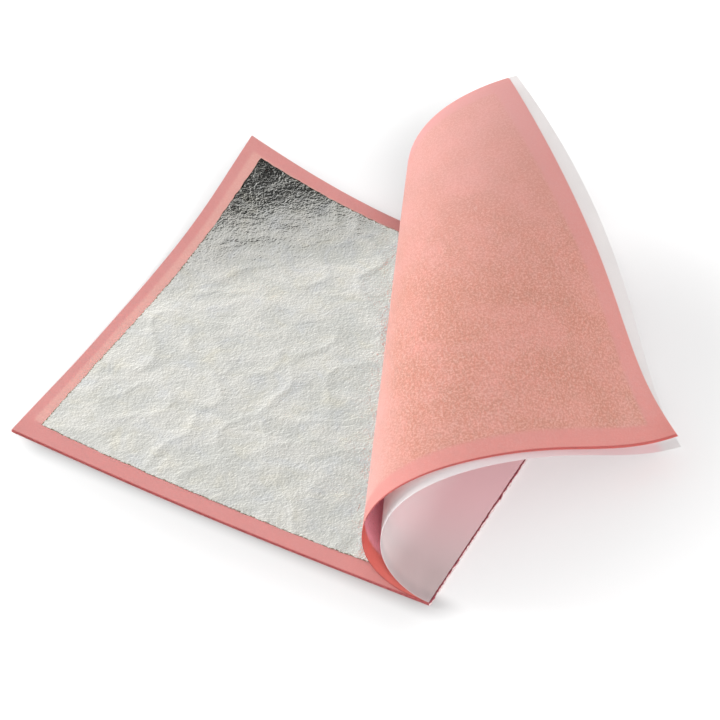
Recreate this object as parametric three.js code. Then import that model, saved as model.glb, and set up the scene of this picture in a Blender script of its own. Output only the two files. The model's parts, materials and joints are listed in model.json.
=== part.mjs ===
// A booklet of loose silver leaf, opened near its start and lying on a table.
// Square tissue pages are bound along one edge by a bead of padding adhesive. A sheet of leaf lies between
// each page and the next, and a thin paper cover closes each side. The first pages and the front cover are
// turned over: they rise from the bound edge in a cone-shaped curl and hang over to the right.
// Millimetres, +Z up, the bound edge along Y, the block lying towards -X.
import * as THREE from "three";

// Sheets
const pageWidth = 152; // bound edge to fore-edge
const pageHeight = 152; // along the bound edge
const leafSide = 140;
const leafForeMargin = 7.2; // bare page outside the leaf at the fore-edge
const leafFrontMargin = 6.6; // bare page outside the leaf at the front
const leafCount = 25;
const turnedLeaves = 2; // leaves that have gone over with the turned pages

// Thicknesses, and the air that parts one sheet from the next
const tissueThickness = 0.025;
const leafThickness = 0.008;
const coverThickness = 0.1;
const sheetGap = 0.004;
const coverGap = 0.3; // the front cover is stiffer and springs off the pages under it

// Binding
const bindingThickness = 0.35; // at the bead's upper and lower edges
const bindingBulge = 0.25; // how much further the bead swells in the middle
const bindingGap = 0.1; // page edge to the face of the bead
const bindingOverhang = 0.03; // bead above the topmost sheet

// Lying block: flat on the table but for its back fore-corner, which lifts along skewed lines
const liftSkew = 45.8; // degrees, from the bound edge
const liftRadius = 93;
const liftStart = 45.5; // flat width between the back bound corner and the first bent line
const liftApex = 6000; // far away, so that the lines of the lift are all but parallel

// Turned block: lines of a cone, whose apex lies in front of the front bound corner
const curlApex = 300; // apex to the front bound corner
const pageCurlSkew = 18.7; // degrees, from the bound edge
const pageCurlStart = 5.4; // flat width beside the front bound corner
const pageRootRadius = 30; // radius where the pages leave the block
const coverCurlSkew = 21.3;
const coverCurlStart = 0.4;
const coverRootRadius = 17;

// The rest of the curl, shared by the pages and the cover: distances from the root, and the radius at each
const riseAt = 12;
const riseRadius = 22.2;
const sideAt = 26; // tightest, at the side of the loop
const sideRadius = 15.1;
const crownAt = 40;
const crownRadius = 17;
const shoulderAt = 56;
const shoulderRadius = 34;
const flapAt = 76; // the flap sags evenly from here
const flapEndAt = 104;
const flapRadius = 70;
const freeEdgeAt = 140; // the free edge turns up again, just enough for the cover to clear the table
const freeCornerClearance = 2; // table to the cover's free front corner

// Facets
const sagitta = 0.04; // a facet's greatest distance from the true curve
const longestStep = 12;
const beadSegments = 10;

const degree = Math.PI / 180;
const half = pageHeight / 2;

// A sheet bent without stretching: flat up to a start line, then bent along straight lines that fan out
// from an apex in the plane of the flat sheet. Page coordinates are p, from the bound edge to the
// fore-edge, and q, along the bound edge. The unit vectors to the lines make a curve on a sphere, and a
// frame carried along that curve gives the line, its tangent and the sheet's normal.
class Bend {
  constructor({ corner, along, across, apex, start, stations, base }) {
    this.base = base;
    this.along = along;
    this.across = across;
    this.apexPoint = corner.clone().addScaledVector(along, -apex);
    this.distance = apex + half;
    this.startAngle = start / this.distance;
    this.angles = [];
    this.rays = [];
    this.flatRays = [];
    const reach = stations[stations.length - 1].at;
    const turned = this.flatRay(this.startAngle);
    let line = new THREE.Vector3(turned.x, turned.y, 0);
    let tangent = new THREE.Vector3(-line.y, line.x, 0);
    let normal = new THREE.Vector3(0, 0, 1);
    this.addRay(-Math.PI / 3, this.flatRay(-Math.PI / 3).clone());
    this.addRay(this.startAngle, line.clone());
    let travelled = 0;
    while (travelled < reach) {
      const bend = Math.abs(curvatureAt(stations, travelled));
      const step = Math.min(longestStep, Math.sqrt((8 * sagitta) / Math.max(bend, 1e-4)), reach - travelled);
      const turn = step / this.distance;
      const geodesic = curvatureAt(stations, travelled + step / 2) * this.distance;
      [line, tangent, normal] = carryFrame(line, tangent, normal, geodesic, turn);
      travelled = reach - travelled - step < 1e-9 ? reach : travelled + step;
      this.addRay(this.startAngle + travelled / this.distance, line.clone());
    }
    const last = Math.PI / 3;
    const past = last - this.startAngle - travelled / this.distance;
    [line] = carryFrame(line, tangent, normal, 0, past);
    this.addRay(last, line.clone());
    this.facets = this.rays.slice(1).map((ray, i) => this.rays[i].clone().cross(ray).normalize());
    this.miters = this.rays.map((_, i) => {
      const before = this.facets[Math.max(i - 1, 0)];
      const after = this.facets[Math.min(i, this.facets.length - 1)];
      return before.clone().add(after).divideScalar(1 + before.dot(after));
    });
  }

  flatRay(angle) {
    return this.along
      .clone()
      .multiplyScalar(Math.cos(angle))
      .addScaledVector(this.across, Math.sin(angle));
  }

  addRay(angle, ray) {
    this.angles.push(angle);
    this.rays.push(ray);
    this.flatRays.push(this.flatRay(angle));
  }

  // Page coordinates, seen from the apex
  fromApex(p, q) {
    return new THREE.Vector3(-p, q, 0).sub(this.apexPoint);
  }

  angleOf(p, q) {
    const spot = this.fromApex(p, q);
    return Math.atan2(spot.dot(this.across), spot.dot(this.along));
  }

  // The place in space of a point of the page, a given height above the lowest sheet that takes this bend
  place(p, q, height) {
    const spot = this.fromApex(p, q);
    const angle = this.angleOf(p, q);
    let i = 0;
    while (i < this.angles.length - 2 && angle > this.angles[i + 1]) i += 1;
    const a = this.flatRays[i];
    const b = this.flatRays[i + 1];
    const area = a.x * b.y - a.y * b.x;
    const alongA = (spot.x * b.y - spot.y * b.x) / area;
    const alongB = (a.x * spot.y - a.y * spot.x) / area;
    const share = alongB / (alongA + alongB);
    const lift = this.miters[i].clone().lerp(this.miters[i + 1], share);
    return this.apexPoint
      .clone()
      .addScaledVector(this.rays[i], alongA)
      .addScaledVector(this.rays[i + 1], alongB)
      .addScaledVector(lift, height)
      .add(new THREE.Vector3(0, 0, this.base));
  }
}

// Curvature at a distance along the bend, in a straight run from each station to the next
function curvatureAt(stations, at) {
  let i = 0;
  while (i < stations.length - 2 && at > stations[i + 1].at) i += 1;
  const [from, to] = [stations[i], stations[i + 1]];
  const share = Math.min(Math.max((at - from.at) / (to.at - from.at), 0), 1);
  return (1 - share) / from.radius + share / to.radius;
}

// The frame of a unit-speed curve on the sphere, carried on by a small turn at a steady geodesic curvature
function carryFrame(line, tangent, normal, geodesic, turn) {
  const rate = Math.hypot(1, geodesic);
  const axis = normal.clone().addScaledVector(line, geodesic).divideScalar(rate);
  return [line, tangent, normal].map((v) => v.clone().applyAxisAngle(axis, rate * turn));
}

// Where the line at an angle from the apex enters and leaves a rectangle of the page, as [p, q] pairs
function crossings(bend, angle, sheet) {
  const ray = bend.flatRay(angle);
  const from = bend.apexPoint;
  let near = 0;
  let far = Infinity;
  const clip = (start, speed, low, high) => {
    if (Math.abs(speed) < 1e-12) return;
    const one = (low - start) / speed;
    const two = (high - start) / speed;
    near = Math.max(near, Math.min(one, two));
    far = Math.min(far, Math.max(one, two));
  };
  clip(-from.x, -ray.x, sheet.p0, sheet.p1);
  clip(from.y, ray.y, sheet.q0, sheet.q1);
  if (far < near) near = far = (near + far) / 2;
  return [near, far].map((r) => [-(from.x + ray.x * r), from.y + ray.y * r]);
}

// A closed solid: a rectangle of the page, bent, with a thickness above the given height
function sheetGeometry(bend, sheet, height, thickness) {
  const { p0, p1, q0, q1 } = sheet;
  const corners = [[p0, q0], [p0, q1], [p1, q0], [p1, q1]].map(([p, q]) => bend.angleOf(p, q));
  const first = Math.min(...corners);
  const last = Math.max(...corners);
  const inside = bend.angles.filter((angle) => angle > first && angle < last);
  const angles = [...corners, ...inside].sort((a, b) => a - b);
  const lines = angles
    .filter((angle, i) => i === 0 || angle - angles[i - 1] > 1e-7)
    .map((angle) => {
      const [near, far] = crossings(bend, angle, sheet);
      const tip = Math.hypot(near[0] - far[0], near[1] - far[1]) < 1e-6;
      const at = (spot, up) => bend.place(spot[0], spot[1], height + up);
      return { tip, near: [at(near, 0), at(near, thickness)], far: [at(far, 0), at(far, thickness)] };
    });
  const points = [];
  const triangle = (a, b, c) => points.push(a, b, c);
  const quad = (a, b, c, d) => {
    triangle(a, b, c);
    triangle(a, c, d);
  };
  lines.slice(1).forEach((b, i) => {
    const a = lines[i];
    if (a.tip) {
      triangle(a.near[1], b.far[1], b.near[1]);
      triangle(a.near[0], b.near[0], b.far[0]);
    } else if (b.tip) {
      triangle(a.near[1], a.far[1], b.near[1]);
      triangle(a.near[0], b.near[0], a.far[0]);
    } else {
      quad(a.near[1], a.far[1], b.far[1], b.near[1]);
      quad(a.near[0], b.near[0], b.far[0], a.far[0]);
    }
    quad(a.near[0], a.near[1], b.near[1], b.near[0]);
    const farA = a.tip ? a.near : a.far;
    const farB = b.tip ? b.near : b.far;
    quad(farA[0], farB[0], farB[1], farA[1]);
  });
  const geometry = new THREE.BufferGeometry().setFromPoints(points);
  geometry.computeVertexNormals();
  return geometry;
}

// Outlines, in page coordinates
const wholePage = { p0: bindingGap, p1: pageWidth, q0: -half, q1: half };
const leafOutline = {
  p0: pageWidth - leafForeMargin - leafSide,
  p1: pageWidth - leafForeMargin,
  q0: -half + leafFrontMargin,
  q1: -half + leafFrontMargin + leafSide,
};

// Heights in the stack, from the table up
const pitch = tissueThickness + leafThickness + 2 * sheetGap;
const tissueCount = leafCount + 1;
const turnedTissues = turnedLeaves + 1;
const lyingTissues = tissueCount - turnedTissues;
const lyingBase = coverThickness + sheetGap;
const turnedBase = lyingBase + lyingTissues * pitch;
const turnedThickness = turnedLeaves * pitch + tissueThickness;
const frontCoverBase = turnedBase + turnedThickness + coverGap;
const stackTop = frontCoverBase + coverThickness + bindingOverhang;

// The three bends
const frontCorner = new THREE.Vector3(0, -half, 0);
const backCorner = new THREE.Vector3(0, half, 0);

function curlBend(skew, start, rootRadius, base, freeEdgeRadius) {
  return new Bend({
    corner: frontCorner,
    along: new THREE.Vector3(-Math.sin(skew * degree), Math.cos(skew * degree), 0),
    across: new THREE.Vector3(-Math.cos(skew * degree), -Math.sin(skew * degree), 0),
    apex: curlApex,
    start,
    stations: [
      { at: 0, radius: rootRadius },
      { at: riseAt, radius: riseRadius },
      { at: sideAt, radius: sideRadius },
      { at: crownAt, radius: crownRadius },
      { at: shoulderAt, radius: shoulderRadius },
      { at: flapAt, radius: flapRadius },
      { at: flapEndAt, radius: flapRadius },
      { at: freeEdgeAt, radius: -freeEdgeRadius },
    ],
    base,
  });
}

const lyingBend = new Bend({
  corner: backCorner,
  along: new THREE.Vector3(Math.sin(liftSkew * degree), Math.cos(liftSkew * degree), 0),
  across: new THREE.Vector3(-Math.cos(liftSkew * degree), Math.sin(liftSkew * degree), 0),
  apex: liftApex,
  start: liftStart,
  stations: [
    { at: 0, radius: liftRadius },
    { at: pageWidth, radius: liftRadius },
  ],
  base: 0,
});

const curlCover = (radius) => curlBend(coverCurlSkew, coverCurlStart, coverRootRadius, frontCoverBase, radius);

// The radius of the upturn that leaves the cover's free corner at its clearance: the interval from the
// tightest radius to the loosest is halved until it is found
function upturnRadius() {
  let tight = pageWidth / 40;
  let loose = pageWidth;
  for (let halving = 0; halving < 40; halving += 1) {
    const radius = (tight + loose) / 2;
    const corner = curlCover(radius).place(pageWidth, -half, 0);
    if (corner.z > freeCornerClearance) tight = radius;
    else loose = radius;
  }
  return loose;
}

const freeEdgeRadius = upturnRadius();
const pageBend = curlBend(pageCurlSkew, pageCurlStart, pageRootRadius, turnedBase, freeEdgeRadius);
const coverBend = curlCover(freeEdgeRadius);

// Looks
const pinkTissue = { color: 0xe79a92, roughness: 0.75, metalness: 0 };
const silver = { color: 0xd3d3cb, roughness: 0.42, metalness: 1 };
const whitePaper = { color: 0xf1eeec, roughness: 0.65, metalness: 0 };
const adhesive = { color: 0x9c4450, roughness: 0.6, metalness: 0 };

const booklet = new THREE.Group();

function add(name, geometry, look) {
  const mesh = new THREE.Mesh(geometry, new THREE.MeshStandardMaterial(look));
  mesh.name = name;
  booklet.add(mesh);
}

const numbered = (name, number) => `${name}_${String(number).padStart(2, "0")}`;

// Covers
add("back_cover", sheetGeometry(lyingBend, wholePage, 0, coverThickness), whitePaper);
add("front_cover", sheetGeometry(coverBend, wholePage, 0, coverThickness), whitePaper);

// Tissue pages, numbered from the front cover
for (let number = 1; number <= tissueCount; number += 1) {
  const turned = number <= turnedTissues;
  const bend = turned ? pageBend : lyingBend;
  const height = turned
    ? (turnedTissues - number) * pitch
    : lyingBase + (tissueCount - number) * pitch;
  add(numbered("tissue", number), sheetGeometry(bend, wholePage, height, tissueThickness), pinkTissue);
}

// Leaf, each sheet on the page that follows it
for (let number = 1; number <= leafCount; number += 1) {
  const turned = number <= turnedLeaves;
  const bend = turned ? pageBend : lyingBend;
  const under = turned
    ? (turnedTissues - number - 1) * pitch
    : lyingBase + (tissueCount - number - 1) * pitch;
  const height = under + tissueThickness + sheetGap;
  add(numbered("silver_leaf", number), sheetGeometry(bend, leafOutline, height, leafThickness), silver);
}

// Spine: a bead of padding adhesive over the bound edges, swollen on its outer side
const beadSection = new THREE.Shape()
  .moveTo(0, 0)
  .lineTo(bindingThickness, 0)
  .quadraticCurveTo(bindingThickness + 2 * bindingBulge, stackTop / 2, bindingThickness, stackTop)
  .lineTo(0, stackTop)
  .closePath();
const bead = new THREE.ExtrudeGeometry(beadSection, {
  depth: pageHeight,
  bevelEnabled: false,
  curveSegments: beadSegments,
});
bead.rotateX(Math.PI / 2);
bead.translate(0, half, 0);
add("spine_binding", bead, adhesive);

// The origin lies under the middle of the open booklet, on the table
const box = new THREE.Box3().setFromObject(booklet);
const middle = box.getCenter(new THREE.Vector3());
booklet.position.set(-middle.x, -middle.y, -box.min.z);
const part = new THREE.Group();
part.add(booklet);

export default part;
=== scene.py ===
import json
import math

import bmesh
import bpy
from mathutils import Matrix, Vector, noise


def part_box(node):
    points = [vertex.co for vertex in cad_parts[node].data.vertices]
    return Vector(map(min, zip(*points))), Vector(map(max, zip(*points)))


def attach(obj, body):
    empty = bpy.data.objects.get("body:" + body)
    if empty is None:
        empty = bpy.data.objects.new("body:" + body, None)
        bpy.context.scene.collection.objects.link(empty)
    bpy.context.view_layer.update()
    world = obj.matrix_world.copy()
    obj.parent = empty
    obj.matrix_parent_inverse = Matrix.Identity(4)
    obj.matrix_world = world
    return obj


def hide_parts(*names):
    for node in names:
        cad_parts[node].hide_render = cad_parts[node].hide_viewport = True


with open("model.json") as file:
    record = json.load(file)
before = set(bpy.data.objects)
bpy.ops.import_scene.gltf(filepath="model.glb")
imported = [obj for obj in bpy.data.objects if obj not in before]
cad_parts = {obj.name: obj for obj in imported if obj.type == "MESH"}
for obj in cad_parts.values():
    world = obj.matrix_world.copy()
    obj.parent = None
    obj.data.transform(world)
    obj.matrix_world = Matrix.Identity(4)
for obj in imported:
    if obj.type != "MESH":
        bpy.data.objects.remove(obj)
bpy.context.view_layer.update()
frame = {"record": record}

mm = 0.001
noise.seed_set(3)  # so that the leaf's crinkle is the same on every run

# Places taken from the frame: the bound edge runs along Y, and the block lies towards -X
spineLow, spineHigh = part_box("spine_binding")
spineX = spineLow.x
spineY = (spineLow.y + spineHigh.y) / 2
pageHeight = spineHigh.y - spineLow.y
halfPage = pageHeight / 2
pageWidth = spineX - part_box("back_cover")[0].x

pageSheet = {
    "edgeGap": 0.1 * mm,  # between the page and the face of the spine bead
    "thickness": 0.025 * mm,
    "slip": 0.22 * mm,  # how far a page may lie out of line in the block
}
leafSheet = {
    "side": 140 * mm,
    "foreMargin": 7.2 * mm,
    "frontMargin": 6.6 * mm,
    "thickness": 0.008 * mm,
}
coverSheet = {"thickness": 0.1 * mm}


def ease(value, low, high):
    share = min(max((value - low) / (high - low), 0), 1)
    return share * share * (3 - 2 * share)


# Sockets

class Value:
    # one output socket; sums and products on it add Math nodes
    def __init__(self, tree, socket):
        self.tree = tree
        self.socket = socket

    def maths(self, operation, first, second):
        node = self.tree.nodes.new("ShaderNodeMath")
        node.operation = operation
        for socket, given in zip(node.inputs, (first, second)):
            feed(self.tree, socket, given)
        return Value(self.tree, node.outputs[0])

    def __add__(self, other):
        return self.maths("ADD", self, other)

    def __radd__(self, other):
        return self.maths("ADD", other, self)

    def __sub__(self, other):
        return self.maths("SUBTRACT", self, other)

    def __rsub__(self, other):
        return self.maths("SUBTRACT", other, self)

    def __mul__(self, other):
        return self.maths("MULTIPLY", self, other)

    def __rmul__(self, other):
        return self.maths("MULTIPLY", other, self)

    def larger(self, other):
        return self.maths("MAXIMUM", self, other)


def feed(tree, socket, given):
    if isinstance(given, Value):
        tree.links.new(given.socket, socket)
    else:
        socket.default_value = given


class Look:
    # a material or world whose nodes are added one by one
    def __init__(self, owner):
        owner.use_nodes = True
        self.owner = owner
        self.tree = owner.node_tree
        self.tree.nodes.clear()

    def node(self, kind, settings=None, sockets=None, output=0):
        made = self.tree.nodes.new(kind)
        for key, setting in (settings or {}).items():
            setattr(made, key, setting)
        for key, given in (sockets or {}).items():
            feed(self.tree, made.inputs[key], given)
        return Value(self.tree, made.outputs[output])

    def noise(self, coords, scale, detail=3.0, roughness=0.55, distortion=0.0):
        return self.node("ShaderNodeTexNoise", None, {
            "Vector": coords, "Scale": scale, "Detail": detail,
            "Roughness": roughness, "Distortion": distortion,
        }, "Fac")

    def stretched(self, coords, degrees, along):
        return self.node("ShaderNodeMapping", {"vector_type": "TEXTURE"}, {
            "Vector": coords, "Rotation": (0, 0, math.radians(degrees)), "Scale": (along, 1, 1),
        })

    def between(self, value, low, high, toLow=0.0, toHigh=1.0):
        return self.node("ShaderNodeMapRange", {"interpolation_type": "SMOOTHSTEP"}, {
            "Value": value, "From Min": low, "From Max": high, "To Min": toLow, "To Max": toHigh,
        })

    def blend(self, factor, first, second, way="MIX"):
        return self.node("ShaderNodeMix", {"data_type": "RGBA", "blend_type": way},
                         {0: factor, 6: first, 7: second}, 2)

    def bump(self, height, strength, distance):
        return self.node("ShaderNodeBump", None,
                         {"Height": height, "Strength": strength, "Distance": distance})

    def outputs(self, kind, keys, sockets=None):
        made = self.node(kind, None, sockets).socket.node
        return [Value(self.tree, made.outputs[key]) for key in keys]

    def split(self, vector):
        return self.outputs("ShaderNodeSeparateXYZ", "XYZ", {0: vector})

    def rays(self):
        # 1 on rays from the camera, on mirrored ones and on ones that came through paper
        return self.outputs("ShaderNodeLightPath",
                            ("Is Camera Ray", "Is Glossy Ray", "Is Transmission Ray"))

    def surface(self, shader):
        worldly = isinstance(self.owner, bpy.types.World)
        made = self.tree.nodes.new("ShaderNodeOutputWorld" if worldly else "ShaderNodeOutputMaterial")
        feed(self.tree, made.inputs["Surface"], shader)


def newLook(name):
    return Look(bpy.data.materials.new(name))


def addObject(name, data):
    made = bpy.data.objects.new(name, data)
    bpy.context.scene.collection.objects.link(made)
    return made


def addMesh(name, shape):
    mesh = bpy.data.meshes.new(name)
    shape.to_mesh(mesh)
    shape.free()
    return addObject(name, mesh)


# Bent sheets

lyingShape = {
    "skew": 45.8,  # degrees between the lifted corner's lines and the bound edge
    "apex": 6000 * mm,
    "start": 45.5 * mm,
    "stations": [(0, 93 * mm), (152 * mm, 93 * mm)],
}
curlStations = [
    (12 * mm, 22.2 * mm), (26 * mm, 15.1 * mm), (40 * mm, 17 * mm), (56 * mm, 34 * mm),
    (76 * mm, 70 * mm), (104 * mm, 70 * mm), (140 * mm, -22 * mm),
]
pageCurl = {
    "skew": 18.7, "apex": 300 * mm, "start": 5.4 * mm,
    "stations": [(0, 30 * mm)] + curlStations,
}
coverCurl = {
    "skew": 21.3, "apex": 300 * mm, "start": 0.4 * mm,
    "stations": [(0, 17 * mm)] + curlStations,
}


class Bend:
    # flat up to a start line, then bent along straight lines that fan out from an apex
    spacing = 0.5 * mm

    def __init__(self, shape, base, fromBack=False):
        skew = math.radians(shape["skew"])
        side = 1 if fromBack else -1
        self.along = Vector((side * math.sin(skew), math.cos(skew), 0))
        self.across = Vector((-math.cos(skew), side * math.sin(skew), 0))
        self.apex = Vector((0, side * halfPage, 0)) - self.along * shape["apex"]
        self.distance = shape["apex"] + halfPage
        self.start = shape["start"] / self.distance
        self.base = base
        self.stations = shape["stations"]
        self.lines = self.carry()

    def curvature(self, at):
        for (low, first), (high, second) in zip(self.stations, self.stations[1:]):
            if at <= high:
                share = (at - low) / (high - low)
                return (1 - share) / first + share / second
        return 0

    # the line, its tangent and the sheet's normal, carried along step by step
    def carry(self):
        line = self.along * math.cos(self.start) + self.across * math.sin(self.start)
        tangent = Vector((-line.y, line.x, 0))
        normal = Vector((0, 0, 1))
        lines = [(line.copy(), normal.copy())]
        turn = self.spacing / self.distance
        for step in range(int(2 * pageWidth / self.spacing)):
            bending = self.curvature((step + 0.5) * self.spacing) * self.distance
            rate = math.hypot(1, bending)
            axis = (normal + line * bending) / rate
            cosine, sine = math.cos(rate * turn), math.sin(rate * turn)
            line, tangent, normal = (
                v * cosine + axis.cross(v) * sine + axis * (axis.dot(v) * (1 - cosine))
                for v in (line, tangent, normal))
            lines.append((line.copy(), normal.copy()))
        return lines

    # how far past the start line a spot of the page lies
    def reach(self, p, q):
        spot = Vector((-p, q, 0)) - self.apex
        angle = math.atan2(spot.dot(self.across), spot.dot(self.along))
        return (angle - self.start) * self.distance

    # a spot of the page, a height above the lowest sheet of this bend
    def place(self, p, q, height):
        spot = Vector((-p, q, 0)) - self.apex
        steps = self.reach(p, q) / self.spacing
        if steps <= 0:
            return Vector((spineX - p, spineY + q, self.base + height))
        first = min(int(steps), len(self.lines) - 2)
        line = self.lines[first][0].lerp(self.lines[first + 1][0], steps - first).normalized()
        normal = self.lines[first][1].lerp(self.lines[first + 1][1], steps - first).normalized()
        point = self.apex + line * spot.length + normal * height
        return point + Vector((spineX, spineY, self.base))


def nodeBase(node):
    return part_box(node)[0].z


lyingBend = Bend(lyingShape, 0, fromBack=True)
pageBend = Bend(pageCurl, nodeBase("tissue_03"))
coverBend = Bend(coverCurl, nodeBase("front_cover"))
print("bends ready")


def noRelief(p, q):
    return 0


def noWobble(p, q, s, t):
    return p, q


def makeSheet(name, body, material, bend, outline, thickness, cells,
              relief=noRelief, wobble=noWobble, edge=None):
    low, high = outline
    height = nodeBase(name) - bend.base
    sheet = bmesh.new()
    pageMap = sheet.loops.layers.uv.new("page")
    bmesh.ops.create_grid(sheet, x_segments=cells, y_segments=cells, size=0.5)
    spots = {}
    for vert in sheet.verts:
        s, t = 0.5 - vert.co.x, 0.5 + vert.co.y
        p = low[0] + (high[0] - low[0]) * s
        q = low[1] + (high[1] - low[1]) * t
        spots[vert.index] = (p / pageWidth, 0.5 + q / pageHeight)
        p, q = wobble(p, q, s, t)
        vert.co = bend.place(p, q, height + relief(p, q))
    for face in sheet.faces:
        face.smooth = True
        for loop in face.loops:
            loop[pageMap].uv = spots[loop.vert.index]
    for rim in sheet.edges:
        rim.smooth = not rim.is_boundary  # cut edges stay crisp
    piece = addMesh(name + "_sheet", sheet)
    shell = piece.modifiers.new("thickness", "SOLIDIFY")
    shell.thickness = thickness
    shell.offset = 1
    piece.data.materials.append(material)
    if edge:
        piece.data.materials.append(edge)
        shell.material_offset_rim = 1
    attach(piece, body)
    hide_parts(name)
    return piece


# Finishes

def insideLeaf(look, coords, stray, foreMargin, frontMargin, soft, inset=0):
    # 1 where a sheet of leaf lies behind the page, 0 on the bare border
    u, v, _ = look.split(coords)
    lowU = (pageWidth - foreMargin - leafSheet["side"] + inset) / pageWidth
    highU = 1 - (foreMargin + inset) / pageWidth
    lowV = (frontMargin + inset) / pageHeight
    highV = (frontMargin + leafSheet["side"] - inset) / pageHeight
    inside = 1
    for value, low, high in ((u + stray, lowU, highU), (v + stray, lowV, highV)):
        inside = inside * look.between(value, low - soft, low + soft)
        inside = inside * look.between(value, high + soft, high - soft)
    return inside


def pinkTissue(name, values):
    look = newLook(name)
    coords = look.node("ShaderNodeUVMap", {"uv_map": "page"})
    cloud = look.noise(coords, 9, 4, 0.6, 0.4)
    pulp = look.noise(coords, 230, 3, 0.6, 0.5)
    fibre = look.noise(look.stretched(coords, 35, 2.8), 400, 2, 0.5, 0.3)
    crossFibre = look.noise(look.stretched(coords, -48, 2.8), 400, 2, 0.5, 0.3)
    flecks = look.between(fibre.larger(crossFibre), 0.52, 0.70)
    grain = look.between(pulp, 0.34, 0.66) * 0.6 + flecks * 0.4
    u, v, _ = look.split(coords)
    # painted highlight on the fold: the colour goes paler there and little grain shows
    awayFromFoldHighlight = look.between(u - v * values["foldSlope"], *values["foldHighlightBand"], 0.2, 1.0)
    grain = (grain - 0.5) * awayFromFoldHighlight + 0.5
    redder = look.between(v, *values["redBand"], 0.2, 0.5)
    border = look.blend(grain * 0.8 + cloud * 0.6 - redder, values["deep"], values["pink"])
    # painted highlight: the fold goes paler
    border = look.blend((1 - awayFromFoldHighlight) * values["borderFoldHighlight"], border, values["foldHighlight"])
    border = look.blend(look.between(v, *values["edgeBand"], 0.0, 0.8), border, values["edge"])
    ghost = look.blend(grain * 1.9 + cloud * 0.6 - 0.70, values["peachDeep"], values["peach"])
    ghost = look.blend(look.between(cloud, 0.40, 0.70, 0.0, 0.30), ghost, values["blush"])
    ghost = look.blend((1 - awayFromFoldHighlight) * values["ghostFoldHighlight"], ghost, values["foldHighlight"])
    stray = (fibre - 0.5) * (values["ghostStray"] / pageWidth)
    mask = insideLeaf(look, coords, stray, values["foreMargin"], values["frontMargin"],
                      values["ghostSoft"] / pageWidth)
    colour = look.blend(mask, border, ghost)
    back = look.between(v, *values["backBand"]) * values["backShare"]
    colour = look.blend(back, colour, values["backTint"])
    paper = look.node("ShaderNodeBsdfPrincipled", None, {
        "Base Color": colour, "Roughness": 0.82, "Specular IOR Level": 0.18,
        "Normal": look.bump(pulp + flecks * 0.3, 0.35, 0.08 * mm),
    })
    through = look.node("ShaderNodeBsdfTranslucent", None, {"Color": values["through"]})
    # the leaf behind throws light back
    passing = (1 - mask * values["leafBacking"]) * values["translucency"]
    look.surface(look.node("ShaderNodeMixShader", None, {0: passing, 1: paper, 2: through}))
    return look.owner


def whitePaper(name):
    values = {
        "white": (0.90, 0.90, 0.895, 1), "shade": (0.85, 0.85, 0.845, 1),
        "tinted": (0.96, 0.71, 0.725, 1),  # the pages behind show through the thin sheet
        "rootShadeFront": (0.65, 0.535, 0.535, 1),  # and so does the block next to the spine, under painted shade that is darkest at the front
        "rootShadeBack": (0.91, 0.61, 0.635, 1), "rootBand": (0.16, 0.08), "rootFade": (0.03, 0.33),
        "frontShade": (0.83, 0.85, 0.86, 1), "frontBand": (0.035, 0.012),
        "flapBand": (0.30, 0.65), "stripBand": (0.02, 0.16),
        "through": (0.95, 0.90, 0.89, 1), "translucency": 0.40, "bareEdge": 5 * mm,
    }
    look = newLook(name)
    coords = look.node("ShaderNodeUVMap", {"uv_map": "page"})
    u, v, _ = look.split(coords)
    cloud = look.noise(coords, 12, 4, 0.6, 0.5)
    pulp = look.noise(coords, 260, 4, 0.7)
    colour = look.blend(look.between(cloud * 0.6 + pulp * 0.4, 0.3, 0.7), values["shade"], values["white"])
    bare = values["bareEdge"] / pageWidth
    # the strip along the front edge has pages behind it only on the flap
    front = look.between(u, *values["flapBand"], 0.30, 1.0)
    behind = look.between(u, 1 - bare, 1 - 2 * bare) * front.larger(look.between(v, *values["stripBand"]))
    colour = look.blend(behind * look.between(cloud, 0.2, 0.8, 0.65, 0.95), colour, values["tinted"])
    # next to the spine: the block's pink showing through, with painted shade darkest towards the front
    root = look.blend(look.between(v, *values["rootFade"]), values["rootShadeFront"], values["rootShadeBack"])
    colour = look.blend(look.between(u, *values["rootBand"]), colour, root)
    colour = look.blend(look.between(v, *values["frontBand"]), colour, values["frontShade"], "MULTIPLY")
    paper = look.node("ShaderNodeBsdfPrincipled", None, {
        "Base Color": colour, "Roughness": 0.7, "Specular IOR Level": 0.3,
        "Normal": look.bump(pulp, 0.12, 0.03 * mm),
    })
    through = look.node("ShaderNodeBsdfTranslucent", None, {"Color": values["through"]})
    passing = (1 - behind * 0.6) * values["translucency"]
    look.surface(look.node("ShaderNodeMixShader", None, {0: passing, 1: paper, 2: through}))
    return look.owner


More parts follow.
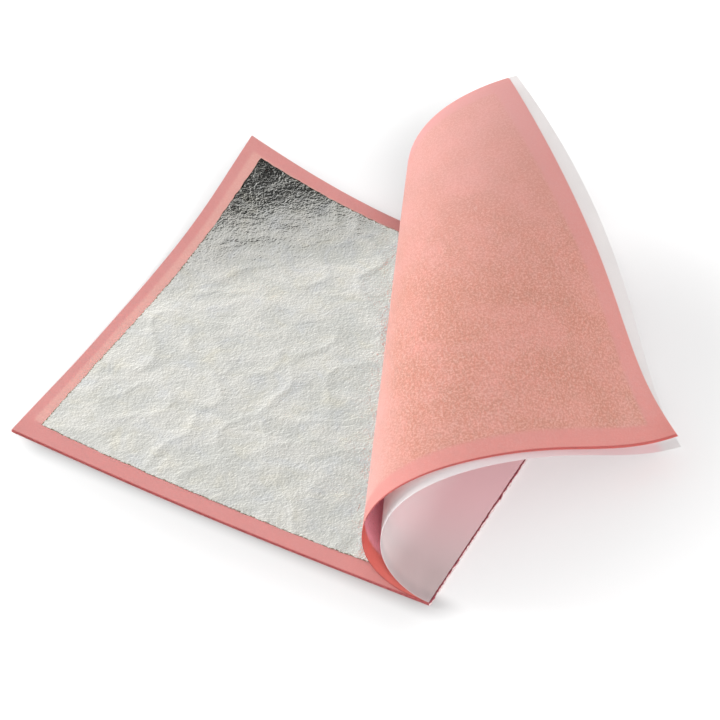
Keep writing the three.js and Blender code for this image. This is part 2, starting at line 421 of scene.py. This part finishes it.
def beatenLeaf(name):
    values = {
        "silver": (0.81, 0.80, 0.755, 1), "dull": (0.72, 0.72, 0.68, 1),
        "warm": (0.80, 0.765, 0.65, 1), "cool": (0.69, 0.71, 0.74, 1),
        # the rim colour is a painted shadow along the leaf's cut edge
        "rim": (0.20, 0.16, 0.08, 1), "rimWidth": 0.25 * mm, "rimSoft": 0.2 * mm, "rimStray": 1.0 * mm,
        "crinkle": 1.9, "ripple": 0.75, "grain": 0.52, "relief": 0.28 * mm,
        "smooth": 0.14, "rough": 0.24,
    }
    look = newLook(name)
    coords = look.node("ShaderNodeUVMap", {"uv_map": "page"})
    tone = look.noise(coords, 16, 4, 0.6, 0.6)
    crinkle = look.noise(look.stretched(coords, 158, 1.6), 15, 2, 0.5, 0.7)
    ripple = look.noise(look.stretched(coords, 150, 1.2), 125, 1, 0.5, 0.4)
    grain = look.noise(look.stretched(coords, 140, 1.2), 250, 1, 0.5, 0.3)
    colour = look.blend(look.between(crinkle, 0.34, 0.66), values["dull"], values["silver"])
    colour = look.blend(look.between(tone, 0.5, 0.75) * 0.5, colour, values["warm"])
    colour = look.blend(look.between(tone, 0.5, 0.25) * 0.5, colour, values["cool"])
    stray = (ripple - 0.5) * (values["rimStray"] / pageWidth)
    inside = insideLeaf(look, coords, stray, leafSheet["foreMargin"], leafSheet["frontMargin"],
                        values["rimSoft"] / pageWidth, values["rimWidth"])
    # painted shadow: a dark broken line along the cut edge
    colour = look.blend((1 - inside) * look.between(grain, 0.35, 0.55), colour, values["rim"])
    height = crinkle * values["crinkle"] + ripple * values["ripple"] + grain * values["grain"]
    metal = look.node("ShaderNodeBsdfPrincipled", None, {
        "Base Color": colour, "Metallic": 1.0,
        "Roughness": look.between(crinkle, 0.3, 0.7, values["smooth"], values["rough"]),
        "Normal": look.bump(height, 0.8, values["relief"]),
    })
    look.surface(metal)
    return look.owner


def pageEdge(name):
    values = {"dark": (0.33, 0.05, 0.06, 1), "red": (0.55, 0.15, 0.15, 1)}
    look = newLook(name)
    coords = look.node("ShaderNodeTexCoord", None, None, "Object")
    streak = look.noise(coords, 900, 3, 0.6)
    colour = look.blend(look.between(streak, 0.3, 0.7), values["dark"], values["red"])
    look.surface(look.node("ShaderNodeBsdfPrincipled", None, {"Base Color": colour, "Roughness": 0.85}))
    return look.owner


def spinePaste(name):
    values = {
        "dark": (0.16, 0.02, 0.035, 1), "red": (0.38, 0.08, 0.10, 1), "smear": 0.5 * mm,
        "pale": (0.80, 0.62, 0.61, 1), "paleBand": (1.12 * mm, 0.95 * mm),  # page ends under the paste
    }
    look = newLook(name)
    coords = look.node("ShaderNodeTexCoord", None, None, "Object")
    smear = look.noise(coords, 700, 4, 0.6, 0.5)
    height = look.split(coords)[2] + (smear - 0.5) * values["smear"]
    colour = look.blend(look.between(smear, 0.3, 0.7), values["dark"], values["red"])
    colour = look.blend(look.between(height, *values["paleBand"]), colour, values["pale"])
    paste = look.node("ShaderNodeBsdfPrincipled", None, {
        "Base Color": colour, "Roughness": look.between(smear, 0.3, 0.7, 0.45, 0.7),
        "Normal": look.bump(smear, 0.4, 0.1 * mm),
    })
    look.surface(paste)
    return look.owner


tissue = {
    "pink": (0.84, 0.64, 0.60, 1), "deep": (0.80, 0.49, 0.45, 1), "edge": (0.50, 0.14, 0.14, 1),
    "peach": (0.89, 0.73, 0.64, 1), "peachDeep": (0.65, 0.42, 0.32, 1), "blush": (0.88, 0.59, 0.55, 1),
    # the fold colour is a painted highlight
    "foldHighlight": (0.90, 0.81, 0.80, 1), "through": (1.0, 0.50, 0.44, 1), "translucency": 0.53,
    "backTint": (0.78, 0.66, 0.69, 1), "backShare": 0.35, "backBand": (0.35, 0.95),
    "redBand": (0.07, 0.03), "edgeBand": (0.5 * mm / pageHeight, 0.15 * mm / pageHeight),
    "borderFoldHighlight": 0.12, "ghostFoldHighlight": 0.9, "leafBacking": 0.0, "ghostSoft": 0.9 * mm, "ghostStray": 1.2 * mm,
    "foldSlope": 0.338, "foldHighlightBand": (30 * mm / pageWidth, 58 * mm / pageWidth),
    "foreMargin": leafSheet["foreMargin"], "frontMargin": leafSheet["frontMargin"],
}
turnedLook = pinkTissue("pink_tissue_turned", tissue)
offPage = (-2, -1)  # these pages get no painted fold highlight
# the first page faces into the loop: its pink is painted a deeper, brighter red for the red light that
# bounces about in there
loopGlow = {
    "pink": (1.0, 0.42, 0.37, 1), "deep": (0.94, 0.35, 0.30, 1), "foldHighlightBand": offPage, "leafBacking": 1.0,
    "peach": (1.0, 0.43, 0.51, 1), "peachDeep": (0.95, 0.39, 0.46, 1), "blush": (1.0, 0.43, 0.51, 1),
}
loopGlowLook = pinkTissue("pink_tissue_painted_loop_glow", {**tissue, **loopGlow})
# the lying pages' pink and deep are painted darker than the turned pages', as shade; their leaves lie at
# other margins
lyingShadedCopy = {
    "pink": (0.82, 0.535, 0.52, 1), "deep": (0.74, 0.42, 0.405, 1), "foldHighlightBand": offPage,
    "ghostSoft": 0.6 * mm, "translucency": 0.48, "backShare": 0.0,
    "peach": (0.88, 0.68, 0.62, 1), "peachDeep": (0.80, 0.56, 0.51, 1), "blush": (0.86, 0.60, 0.55, 1),
    "foreMargin": 3.6 * mm, "frontMargin": 7.4 * mm,
}
lyingLook = pinkTissue("pink_tissue_lying_shaded", {**tissue, **lyingShadedCopy})
paperLook = whitePaper("thin_white_paper")
leafLook = beatenLeaf("beaten_silver_leaf")
pasteLook = spinePaste("spine_paste")
edgeLook = pageEdge("page_edges")
print("finishes ready")

# Pages, leaves and covers

pageOutline = ((pageSheet["edgeGap"], -halfPage), (pageWidth, halfPage))
leafLow = (pageWidth - leafSheet["foreMargin"] - leafSheet["side"], leafSheet["frontMargin"] - halfPage)
leafOutline = (leafLow, (leafLow[0] + leafSheet["side"], leafLow[1] + leafSheet["side"]))
bodyOf = {node: body for body, nodes in frame["record"]["behaviour"]["bodies"].items() for node in nodes}
tissueCount = sum(node.startswith("tissue") for node in bodyOf)
turnedPages = 3
fineCells = {"turned": 150, "lying": 120, "bareLeaf": 200, "hidden": 44, "inner": 90}
waves = {
    "root": (3 * mm, 16 * mm),  # past the start of the turned pages' bend
    "lying": 0.10 * mm, "lyingLength": 55 * mm,
    "turned": 0.25 * mm, "turnedLength": 42 * mm, "turnedFrom": 40 * mm, "turnedSeed": 20 * mm,
}


def clearOfRoot(p, q):
    # 0 where the turned pages still lie flat on the block, 1 where they have left it
    return ease(pageBend.reach(p, q), *waves["root"])


def lyingWave(p, q):
    # the block is not dead flat along its free edges
    rise = waves["lying"] * (1 + noise.noise(Vector((p, q, 0)) / waves["lyingLength"]))
    return rise * ease(p, 0, pageWidth) * clearOfRoot(p, q)


def turnedWave(p, q):
    spot = Vector((p, q, waves["turnedSeed"]))
    rise = waves["turned"] * (1 + noise.noise(spot / waves["turnedLength"]))
    return -rise * ease(p, waves["turnedFrom"], pageWidth) * clearOfRoot(p, q)


def blockBow(p, q, s, t):
    # the lying pages bow a little towards the front, and their free edges are not quite straight
    values = {"inset": 0.55 * mm, "bow": 1.55 * mm, "lessBehind": 0.8 * mm}
    inset = values["inset"] * s ** 4 * math.sin(2 * math.pi * t) ** 2
    return p - inset, q - (values["bow"] - values["lessBehind"] * t) * math.sin(math.pi * s)


def slipOf(number):
    # each page lies a little out of line, the same on every run
    seed = Vector((number * 3.7, 1.3, 0.4))
    along, out = noise.noise(seed), noise.noise(seed + Vector((0, 5.1, 0)))

    def wobble(p, q, s, t):
        p, q = blockBow(p, q, s, t)
        return p + out * pageSheet["slip"] * s, q + along * pageSheet["slip"] * s

    return wobble


def fanOf(number):
    # the turned pages' edges show one beside another
    values = {
        "corner": 0.8 * mm, "short": 1.0 * mm, "lean": 0.6 * mm,
        "fore": 0.15 * mm, "front": 0.35 * mm,  # from each page to the next
    }
    behind = turnedPages - number

    def wobble(p, q, s, t):
        corner = values["corner"] * s ** 4 * (1 - ease(t, 0, 0.2))
        fore = (values["fore"] * behind - values["short"] * s) * s
        return p + corner + fore, q - (values["front"] * behind + values["lean"] * t) * s

    return wobble


def leafCrinkle(p, q):
    values = {
        "fold": 0.20 * mm, "ripple": 0.15 * mm, "grain": 0.03 * mm, "warp": 5 * mm,
        "foldSize": 17 * mm, "rippleSize": 7.5 * mm, "grainSize": 1.9 * mm, "warpSize": 34 * mm,
    }
    spot = Vector((p, q, 0))
    warped = spot + noise.noise_vector(spot / values["warpSize"]) * values["warp"]
    fold = (1 - abs(noise.noise(warped / values["foldSize"]))) ** 7
    ripple = 0.5 + 0.5 * noise.fractal(warped / values["rippleSize"], 0.9, 2.1, 3)
    grain = 0.5 + 0.5 * noise.noise(spot / values["grainSize"])
    rise = values["fold"] * fold + values["ripple"] * ripple + values["grain"] * grain
    return lyingWave(p, q) + max(rise, 0) * clearOfRoot(p, q)


def leafEdge(p, q, s, t):
    # a ragged cut edge: the spots near it stray by a fraction of a millimetre
    values = {"stray": 0.30 * mm, "jag": 2.6 * mm, "bow": 2.2 * mm, "lessBehind": 1.9 * mm}
    near = max(ease(abs(s - 0.5), 0.485, 0.5), ease(abs(t - 0.5), 0.485, 0.5))
    stray = near * values["stray"]
    spot = Vector((p, q, 0)) / values["jag"]
    bow = (values["bow"] - values["lessBehind"] * t) * math.sin(math.pi * s) ** 0.7
    return p + stray * noise.noise(spot), q - bow + stray * noise.noise(spot + Vector((7, 3, 0)))


def coverBow(p, q, s, t):
    # the free edge bows out, its front corner is drawn in and the root is torn
    values = {"bow": 2.3 * mm, "corner": 2.0 * mm, "torn": 0.45 * mm, "tear": 1.4 * mm}
    middle, corner = math.sin(math.pi * t), 1 - ease(t, 0, 0.35)
    torn = values["torn"] * max(noise.noise(Vector((0, q / values["tear"], 3))), 0) * (1 - ease(s, 0, 0.01))
    return p + (values["bow"] * middle - values["corner"] * corner) * s ** 4 + torn, q


for number in range(1, tissueCount + 1):
    node = f"tissue_{number:02d}"
    turned = number <= turnedPages
    showing = number in (turnedPages, turnedPages + 1)  # outside the flap, and around the bare leaf
    if turned:
        bend, relief, wobble = pageBend, turnedWave, fanOf(number)
        # the first page takes the copy painted with the loop's red glow
        material = loopGlowLook if number == 1 else turnedLook
        cells = fineCells["turned" if showing else "inner"]
    else:
        bend, relief, wobble = lyingBend, lyingWave, blockBow if showing else slipOf(number)
        material = lyingLook
        cells = fineCells["lying" if showing else "hidden"]
    sheet = makeSheet(node, bodyOf[node], material, bend, pageOutline,
                      pageSheet["thickness"], cells, relief, wobble, edgeLook)
print("pages made")

for number in range(1, tissueCount):
    node = f"silver_leaf_{number:02d}"
    turned = number < turnedPages
    if turned:
        bend, relief, wobble, cells = pageBend, turnedWave, noWobble, fineCells["inner"]
    elif number == turnedPages:  # the bare one
        bend, relief, wobble, cells = lyingBend, leafCrinkle, leafEdge, fineCells["bareLeaf"]
    else:
        bend, relief, wobble, cells = lyingBend, lyingWave, blockBow, fineCells["hidden"]
    sheet = makeSheet(node, bodyOf[node], leafLook, bend, leafOutline,
                      leafSheet["thickness"], cells, relief, wobble)
print("leaf laid")

backCover = makeSheet("back_cover", bodyOf["back_cover"], paperLook, lyingBend,
                      pageOutline, coverSheet["thickness"], fineCells["hidden"], lyingWave, blockBow)
frontCover = makeSheet("front_cover", bodyOf["front_cover"], paperLook, coverBend,
                       pageOutline, coverSheet["thickness"], fineCells["turned"], wobble=coverBow)
print("covers made")


def makeSpine():
    values = {
        "depth": 0.26 * mm, "bulge": 0.06 * mm, "least": 0.12 * mm, "short": 1.6 * mm,
        "stray": 0.80 * mm, "drip": 2.3 * mm, "thread": 0.8 * mm, "threadShare": 0.7, "cuts": 420,
    }
    low, high = spineLow, spineHigh
    bead = bmesh.new()
    bmesh.ops.create_cube(bead, size=1)
    long = [edge for edge in bead.edges if abs(edge.verts[0].co.y - edge.verts[1].co.y) > 0.5]
    bmesh.ops.subdivide_edges(bead, edges=long, cuts=values["cuts"], use_grid_fill=True)
    upright = [edge for edge in bead.edges if abs(edge.verts[0].co.z - edge.verts[1].co.z) > 0.5]
    bmesh.ops.subdivide_edges(bead, edges=upright, cuts=3, use_grid_fill=True)
    for vert in bead.verts:
        x, y, z = vert.co.x + 0.5, vert.co.y + 0.5, vert.co.z + 0.5
        place = low.y + (high.y - low.y - values["short"]) * y
        ragged = noise.noise(Vector((place / values["drip"], z, 2)))
        ragged += values["threadShare"] * noise.noise(Vector((place / values["thread"], 4, z)))
        out = values["depth"] + values["bulge"] * (1 - (2 * z - 1) ** 2) + values["stray"] * ragged * 0.5
        vert.co = (low.x + x * max(out, values["least"]), place, low.z + (high.z - low.z) * z)
    for face in bead.faces:
        face.smooth = True
    piece = addMesh("spine_bead", bead)
    piece.data.materials.append(pasteLook)
    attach(piece, bodyOf["spine_binding"])
    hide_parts("spine_binding")


makeSpine()
print("spine made")

# Studio

table = {
    "tone": 0.80, "glow": 0.11, "farGlow": 0.25, "farBand": (95 * mm, 170 * mm), "whiteBand": (0.3, 0.9),
    "bow": 1 * mm,  # how far the block's front edge bows out over it, a hair above
    "softShade": 0.22, "softBand": (42 * mm, -6 * mm),
    "nearShade": 0.24, "nearBand": (5.5 * mm, -1 * mm), "underBand": (-8 * mm, -3 * mm),
    "foreBand": (-4 * mm, 14 * mm), "spineBand": (14 * mm, -6 * mm),
}


def makeFloor():
    plane = bmesh.new()
    bmesh.ops.create_grid(plane, x_segments=1, y_segments=1, size=6)
    floor = addMesh("floor", plane)
    look = newLook("white_floor")
    tone = table["tone"]
    coords = look.node("ShaderNodeTexCoord", None, None, "Object")
    x, y, _ = look.split(coords)
    away = look.node("ShaderNodeVectorMath", {"operation": "LENGTH"}, {0: coords}, "Value")
    ahead = (spineLow.y - table["bow"]) - y
    shade = look.between(ahead, *table["softBand"]) * table["softShade"]
    shade = shade + look.between(ahead, *table["nearBand"]) * table["nearShade"]
    shade = shade * look.between(ahead, *table["underBand"])
    shade = shade * look.between(x - (spineX - pageWidth), *table["foreBand"])
    shade = shade * look.between(x - spineX, *table["spineBand"])
    colour = look.blend(shade, (tone, tone, tone, 1), (0, 0, 0, 1))
    matt = look.node("ShaderNodeBsdfDiffuse", None, {"Color": colour})
    camera, glossy, passed = look.rays()
    level = look.between(away, *table["farBand"]) * table["farGlow"] + table["glow"]
    level = level + look.between(away, *table["whiteBand"]) * (1 - table["glow"] - table["farGlow"])
    glow = look.node("ShaderNodeEmission", None, {
        "Color": (1, 1, 1, 1), "Strength": (camera + glossy + passed) * level * (1 - shade),
    })
    look.surface(look.node("ShaderNodeAddShader", None, {0: matt, 1: glow}))
    floor.data.materials.append(look.owner)


# What shiny things mirror: a wall that darkens upwards and to both sides, and a dark card overhead
room = {
    "ambient": 0.62, "wallLow": (1.88, 1.88, 1.86, 1), "wallHigh": (0.91, 0.91, 0.91, 1),
    "wallBand": (-0.2, 1.0), "wallDark": (0.14, 0.14, 0.14, 1),
    "across": (0.88, 0.477, 0),  # to the right, seen from the camera
    "rightBand": (-0.4, 0.4), "rightShare": 0.5, "leftBand": (-0.4, -0.95), "leftShare": 0.35,
    "cardMiddle": (0.47, -0.22, 0.855), "cardTone": (0.02, 0.02, 0.02, 1),
    "cardBand": (0.73, 0.84), "cardEdge": (-0.12, 0.06),
}


def makeWorld():
    world = bpy.data.worlds.new("studio")
    bpy.context.scene.world = world
    look = Look(world)
    camera, glossy, passed = look.rays()
    way = look.node("ShaderNodeTexCoord", None, None, "Generated")
    dot = {"operation": "DOT_PRODUCT"}
    towards = look.node("ShaderNodeVectorMath", dot, {0: way, 1: room["cardMiddle"]}, "Value")
    side = look.node("ShaderNodeVectorMath", dot, {0: way, 1: room["across"]}, "Value")
    up = look.split(way)[2]
    wall = look.blend(look.between(up, *room["wallBand"]), room["wallLow"], room["wallHigh"])
    shaded = look.between(side, *room["rightBand"], 0.0, room["rightShare"])
    shaded = shaded + look.between(side, *room["leftBand"], 0.0, room["leftShare"])
    wall = look.blend(shaded, wall, room["wallDark"])
    card = look.between(towards, *room["cardBand"]) * look.between(side, *room["cardEdge"])
    level = room["ambient"]
    colour = look.blend(glossy, (level, level, level, 1), look.blend(card, wall, room["cardTone"]))
    colour = look.blend(camera + passed, colour, (1, 1, 1, 1))
    look.surface(look.node("ShaderNodeBackground", None, {"Color": colour, "Strength": 1.0}))


lamps = {
    "key": {"place": (-1.25, -0.15, 0.32), "size": 0.7, "power": 18.0},
    "fill": {"place": (0.75, -0.95, 0.75), "size": 0.7, "power": 14.0},
}
lampAim = (0, 0, 0.02)


def makeLight(name, values):
    data = bpy.data.lights.new(name, "AREA")
    data.shape = "DISK"
    data.size = values["size"]
    data.energy = values["power"]
    lamp = addObject(name, data)
    lamp.location = values["place"]
    lamp.visible_glossy = False
    lamp.rotation_euler = (Vector(lampAim) - Vector(values["place"])).to_track_quat("-Z", "Y").to_euler()


makeFloor()
makeWorld()
for name, values in lamps.items():
    makeLight(name, values)

cameraView = {
    "azimuth": 28.457, "elevation": 44.01, "distance": 700.03 * mm,
    "focalPixels": 2120.85, "framePixels": 720, "sensor": 36.0,
    "target": (-64.457 * mm, -0.442 * mm, 8.7 * mm),  # from the middle of the bound edge
}


def makeCamera():
    azimuth, elevation = (math.radians(cameraView[key]) for key in ("azimuth", "elevation"))
    back = Vector((math.sin(azimuth) * math.cos(elevation), -math.cos(azimuth) * math.cos(elevation),
                   math.sin(elevation)))
    target = Vector(cameraView["target"]) + Vector((spineX, spineY, 0))
    data = bpy.data.cameras.new("camera")
    data.sensor_width = cameraView["sensor"]
    data.lens = cameraView["sensor"] * cameraView["focalPixels"] / cameraView["framePixels"]
    camera = addObject("camera", data)
    camera.location = target + back * cameraView["distance"]
    camera.rotation_euler = back.to_track_quat("Z", "Y").to_euler()
    bpy.context.scene.camera = camera


makeCamera()
bpy.context.scene.view_settings.view_transform = "Standard"
print("studio ready")
